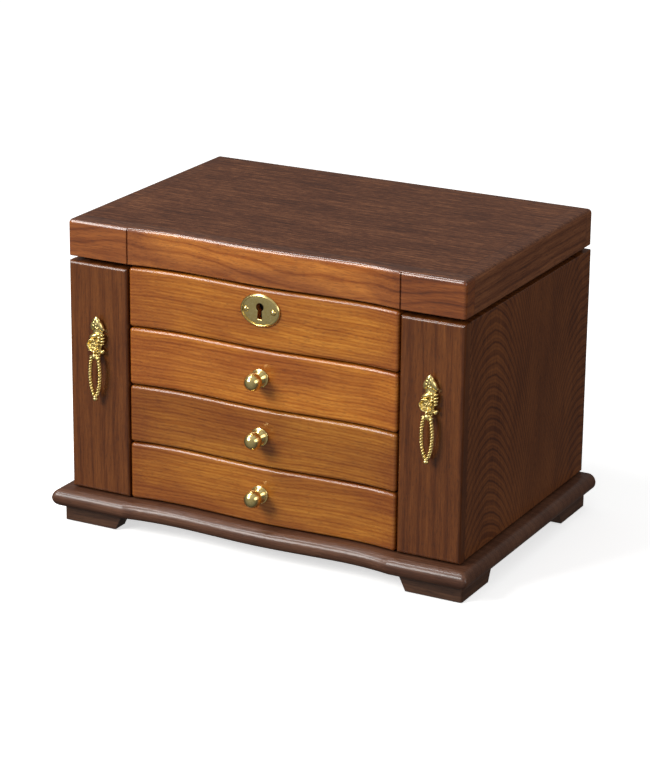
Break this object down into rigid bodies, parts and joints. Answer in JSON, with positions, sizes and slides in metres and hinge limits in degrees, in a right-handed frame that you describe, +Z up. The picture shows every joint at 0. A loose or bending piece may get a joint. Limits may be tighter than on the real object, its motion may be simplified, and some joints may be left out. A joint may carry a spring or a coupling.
{
  "type": "jewelry box",
  "caption": "Wooden jewelry box with a hinged mirror lid, lined tray with ring rolls, serpentine-front drawers, swing-out necklace doors and brass fittings.",
  "frame": {"origin": "on the surface the box stands on, under the middle of the whole box with its knobs and hinges", "axes": "+X to the right seen from the front, front facing -Y, +Z up"},
  "size_m": [0.365, 0.2552, 0.249],
  "materials": {
    "case_wood": "dark walnut stain under satin-gloss lacquer",
    "front_wood": "warm brown stain under satin-gloss lacquer",
    "inner_wood": "brown stain, matte",
    "velvet": "short-pile velvet",
    "brass": "polished",
    "steel": "plain",
    "mirror_glass": "silvered glass"
  },
  "bodies": {
    "case": {"base_plate": "case_wood", "foot_front_left": "case_wood", "foot_front_right": "case_wood", "foot_rear_left": "case_wood", "foot_rear_right": "case_wood", "foot_felts": "velvet", "partition_left": "inner_wood", "partition_right": "inner_wood", "ceiling_left": "inner_wood", "ceiling_right": "inner_wood", "back_panel": "case_wood", "shelf_1": "inner_wood", "shelf_2": "inner_wood", "shelf_3": "inner_wood", "lock_panel": "front_wood", "escutcheon": "brass", "escutcheon_pins": "brass", "lock_case": "steel", "tray_lining": "velvet", "tray_dividers": "inner_wood", "ring_rolls": "velvet", "lid_hinge_case_leaves": "brass", "door_hinge_case_leaves": "brass"},
    "lid": {"lid_front": "front_wood", "lid_back": "case_wood", "lid_side_left": "case_wood", "lid_side_right": "case_wood", "lid_top": "case_wood", "mirror": "mirror_glass", "mirror_frame": "inner_wood", "strike_plate": "brass", "lid_hinge_lid_leaves": "brass"},
    "lock_bolt": {"lock_bolt": "brass"},
    "drawer_1": {"drawer_1_front": "front_wood", "drawer_1_box": "inner_wood", "drawer_1_lining": "velvet", "drawer_1_knob": "brass"},
    "drawer_2": {"drawer_2_front": "front_wood", "drawer_2_box": "inner_wood", "drawer_2_lining": "velvet", "drawer_2_knob": "brass"},
    "drawer_3": {"drawer_3_front": "front_wood", "drawer_3_box": "inner_wood", "drawer_3_lining": "velvet", "drawer_3_knob": "brass"},
    "door_left": {"door_left_front": "case_wood", "door_left_side": "case_wood", "door_left_hooks": "brass", "door_left_pocket": "velvet", "door_left_hinge_leaves": "brass", "pull_left_boss": "brass"},
    "pull_left": {"pull_left_loop": "brass"},
    "door_right": {"door_right_front": "case_wood", "door_right_side": "case_wood", "door_right_hooks": "brass", "door_right_pocket": "velvet", "door_right_hinge_leaves": "brass", "pull_right_boss": "brass"},
    "pull_right": {"pull_right_loop": "brass"}
  },
  "joints": [
    {"name": "lid_hinge", "type": "hinge", "parent": "case", "child": "lid", "pos_m": [0, 0.12541, 0.21935], "axis": [-1, 0, 0], "range_deg": [0, 95]},
    {"name": "drawer_1_slide", "type": "slide", "parent": "case", "child": "drawer_1", "axis": [0, -1, 0], "range_m": [0, 0.15]},
    {"name": "drawer_2_slide", "type": "slide", "parent": "case", "child": "drawer_2", "axis": [0, -1, 0], "range_m": [0, 0.15]},
    {"name": "drawer_3_slide", "type": "slide", "parent": "case", "child": "drawer_3", "axis": [0, -1, 0], "range_m": [0, 0.15]},
    {"name": "door_left_hinge", "type": "hinge", "parent": "case", "child": "door_left", "pos_m": [-0.1634, 0.12541, 0.12], "axis": [0, 0, -1], "range_deg": [0, 95]},
    {"name": "pull_left_swing", "type": "hinge", "parent": "door_left", "child": "pull_left", "pos_m": [-0.14375, -0.11559, 0.143], "axis": [-1, 0, 0], "range_deg": [0, 85]},
    {"name": "door_right_hinge", "type": "hinge", "parent": "case", "child": "door_right", "pos_m": [0.1634, 0.12541, 0.12], "axis": [0, 0, 1], "range_deg": [0, 95]},
    {"name": "pull_right_swing", "type": "hinge", "parent": "door_right", "child": "pull_right", "pos_m": [0.14375, -0.11559, 0.143], "axis": [-1, 0, 0], "range_deg": [0, 85]},
    {"name": "lock_bolt_slide", "type": "slide", "parent": "case", "child": "lock_bolt", "axis": [1, 0, 0], "range_m": [0, 0.004]}
  ]
}
